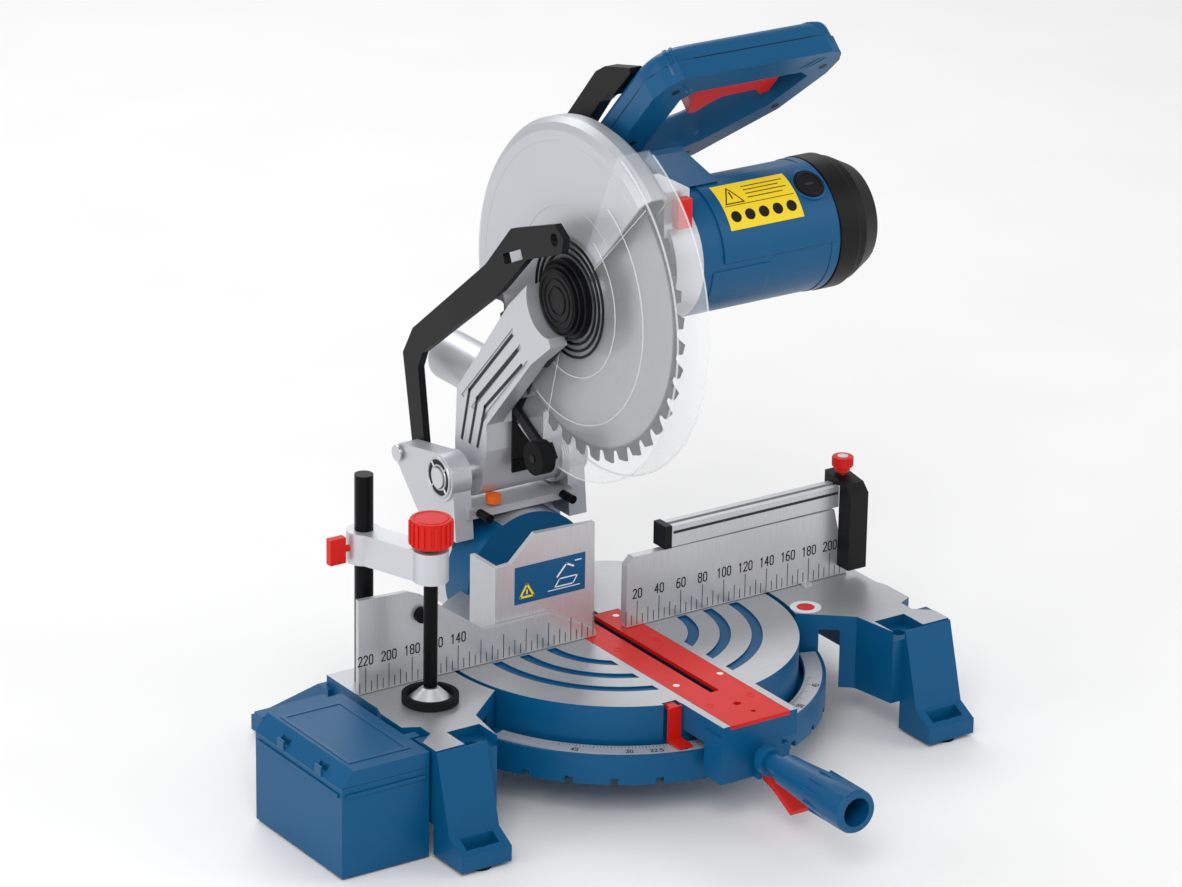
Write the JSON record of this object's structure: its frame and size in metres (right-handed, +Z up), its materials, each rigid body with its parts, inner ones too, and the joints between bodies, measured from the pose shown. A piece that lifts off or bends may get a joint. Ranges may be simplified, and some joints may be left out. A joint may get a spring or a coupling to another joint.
{
  "type": "mitre saw",
  "caption": "Compound mitre saw: round blade in a guarded chopping head over a turntable with fences, work clamp, length stop and side storage box.",
  "frame": {"origin": "on the bench at the centre of the four bench bolt holes, straight under the point where the saw kerf meets the front face of the fence", "axes": "+X along the fence to the right, +Y away from the user, +Z up"},
  "size_m": [0.5365, 0.54, 0.543],
  "materials": {
    "blue_casting": "satin blue paint over cast aluminium, machined bare on the table faces",
    "blue_plastic": "satin moulded blue plastic",
    "fence_alu": "brushed extruded aluminium",
    "cast_alu": "fine cast aluminium, light satin",
    "black_plastic": "fine-textured black plastic",
    "red_plastic": "bright red moulded plastic",
    "black_rubber": "matt rubber",
    "orange_rubber": "soft orange bumper",
    "clear_guard": "clear polycarbonate",
    "blade_steel": "ground steel",
    "black_steel": "black oxide steel",
    "bright_steel": "turned bright steel",
    "motor_iron": "laminated iron and copper winding",
    "scale_print": "printed aluminium scale"
  },
  "bodies": {
    "base": {"base_casting": "blue_casting", "rubber_feet": "black_rubber", "mitre_scale_strip": "scale_print", "table_pivot_bolt": "bright_steel", "fence_left": "fence_alu", "fence_right": "fence_alu", "fence_screws": "black_steel", "storage_box": "blue_casting"},
    "fence_slide": {"fence_left_slide": "fence_alu"},
    "stop_rail": {"stop_rail": "fence_alu", "rail_end_cap": "black_plastic"},
    "stop_slide": {"stop_block": "black_plastic", "stop_knob": "red_plastic"},
    "clamp_post": {"clamp_post": "black_steel"},
    "clamp_arm": {"clamp_arm": "cast_alu"},
    "clamp_wing": {"clamp_wing_screw": "red_plastic"},
    "clamp_pad": {"clamp_pad": "bright_steel", "clamp_pad_ring": "black_rubber"},
    "clamp_spindle": {"clamp_spindle": "black_steel", "clamp_knob": "red_plastic"},
    "storage_lid": {"storage_lid": "blue_casting"},
    "turntable": {"turntable": "blue_casting", "kerf_plate": "red_plastic", "kerf_plate_screws": "bright_steel", "mitre_pointer": "red_plastic"},
    "mitre_handle": {"mitre_handle": "blue_plastic"},
    "detent_lever": {"detent_lever": "red_plastic"},
    "bevel_bracket": {"bevel_bracket": "cast_alu", "bevel_pin": "bright_steel", "bevel_stop_screws": "black_steel", "chop_bumper": "orange_rubber", "pivot_pins": "bright_steel", "return_spring": "bright_steel"},
    "bevel_lever": {"bevel_lock_lever": "black_steel"},
    "guard_link": {"guard_link": "black_plastic"},
    "head": {"upper_guard": "cast_alu", "hub_cover": "black_plastic", "head_arm": "cast_alu", "dust_port": "cast_alu", "gear_case": "cast_alu", "shaft_bearings": "bright_steel", "motor_housing": "blue_plastic", "brush_caps": "black_plastic", "motor_end_cap": "black_plastic", "stator": "motor_iron", "handle_back": "blue_plastic", "handle_front": "blue_plastic", "switch_unit": "black_plastic", "carry_bar": "black_plastic", "guard_roller_arm": "black_plastic"},
    "lower_guard": {"lower_guard": "clear_guard"},
    "blade": {"saw_blade": "blade_steel", "blade_flanges": "bright_steel", "arbor_bolt": "black_steel", "spindle": "bright_steel", "spindle_gear": "bright_steel"},
    "armature": {"armature": "motor_iron"},
    "guard_roller": {"guard_roller": "black_rubber"},
    "trigger": {"trigger": "red_plastic"},
    "spindle_lock": {"spindle_lock_button": "red_plastic"}
  },
  "joints": [
    {"name": "mitre_turn", "type": "hinge", "parent": "base", "child": "turntable", "pos_m": [0, 0, 0.085], "axis": [0, 0, 1], "range_deg": [-47, 47]},
    {"name": "handle_lock", "type": "hinge", "parent": "turntable", "child": "mitre_handle", "pos_m": [0, -0.25, 0.057], "axis": [0, 1, 0], "range_deg": [0, 360]},
    {"name": "detent_press", "type": "hinge", "parent": "turntable", "child": "detent_lever", "pos_m": [0, -0.1915, 0.044], "axis": [1, 0, 0], "range_deg": [0, 10], "stiffness_Nm_per_rad": 0.5},
    {"name": "bevel_tilt", "type": "hinge", "parent": "turntable", "child": "bevel_bracket", "pos_m": [0, 0.15, 0.085], "axis": [0, 1, 0], "range_deg": [-45, 0]},
    {"name": "bevel_lock", "type": "hinge", "parent": "bevel_bracket", "child": "bevel_lever", "pos_m": [0, 0.185, 0.085], "axis": [0, 1, 0], "range_deg": [-40, 0]},
    {"name": "chop", "type": "hinge", "parent": "bevel_bracket", "child": "head", "pos_m": [0, 0.15, 0.172], "axis": [1, 0, 0], "range_deg": [0, 48]},
    {"name": "link_swing", "type": "hinge", "parent": "bevel_bracket", "child": "guard_link", "pos_m": [-0.04, 0.21, 0.172], "axis": [1, 0, 0], "range_deg": [0, 33.2]},
    {"name": "guard_swing", "type": "hinge", "parent": "head", "child": "lower_guard", "pos_m": [0, 0.046, 0.3395], "axis": [1, 0, 0], "range_deg": [-146, 0]},
    {"name": "blade_spin", "type": "hinge", "parent": "head", "child": "blade", "pos_m": [0, 0.046, 0.3395], "axis": [1, 0, 0], "continuous": true},
    {"name": "armature_spin", "type": "hinge", "parent": "head", "child": "armature", "pos_m": [0.1, 0.008, 0.377], "axis": [1, 0, 0], "continuous": true},
    {"name": "roller_spin", "type": "hinge", "parent": "head", "child": "guard_roller", "pos_m": [-0.026, 0.066, 0.209], "axis": [1, 0, 0], "continuous": true},
    {"name": "trigger_pull", "type": "hinge", "parent": "head", "child": "trigger", "pos_m": [0.062, 0.00104, 0.51099], "axis": [0, -0.7193, -0.6947], "range_deg": [0, 3.5], "stiffness_Nm_per_rad": 1.2},
    {"name": "spindle_lock_press", "type": "slide", "parent": "head", "child": "spindle_lock", "axis": [0, 1, 0], "range_m": [0, 0.002], "stiffness_N_per_m": 600},
    {"name": "fence_slide", "type": "slide", "parent": "base", "child": "fence_slide", "axis": [-1, 0, 0], "range_m": [0, 0.055]},
    {"name": "rail_slide", "type": "slide", "parent": "base", "child": "stop_rail", "axis": [1, 0, 0], "range_m": [0, 0.14]},
    {"name": "stop_slide", "type": "slide", "parent": "stop_rail", "child": "stop_slide", "axis": [1, 0, 0], "range_m": [-0.14, 0]},
    {"name": "clamp_swivel", "type": "hinge", "parent": "base", "child": "clamp_post", "pos_m": [-0.208, 0.022, 0.085], "axis": [0, 0, -1], "range_deg": [0, 60]},
    {"name": "clamp_height", "type": "slide", "parent": "clamp_post", "child": "clamp_arm", "axis": [0, 0, 1], "range_m": [0, 0.022]},
    {"name": "clamp_wing_turn", "type": "hinge", "parent": "clamp_arm", "child": "clamp_wing", "pos_m": [-0.23, 0.022, 0.193], "axis": [1, 0, 0], "range_deg": [0, 180]},
    {"name": "clamp_stroke", "type": "slide", "parent": "clamp_arm", "child": "clamp_pad", "axis": [0, 0, 1], "range_m": [0, 0.025]},
    {"name": "clamp_screw", "type": "hinge", "parent": "clamp_pad", "child": "clamp_spindle", "pos_m": [-0.187, -0.036, 0.15], "axis": [0, 0, 1], "range_deg": [0, 3000]},
    {"name": "lid_open", "type": "hinge", "parent": "base", "child": "storage_lid", "pos_m": [-0.233, -0.05, 0.084], "axis": [0, -1, 0], "range_deg": [-75, 0]}
  ],
  "couplings": [
    {"joint": "link_swing", "follows": "chop", "ratio": 0.68654},
    {"joint": "guard_swing", "follows": "chop", "ratio": -3.0208},
    {"joint": "armature_spin", "follows": "blade_spin", "ratio": -4.8022},
    {"joint": "clamp_screw", "follows": "clamp_stroke", "rad_per_m": 2094.4}
  ]
}
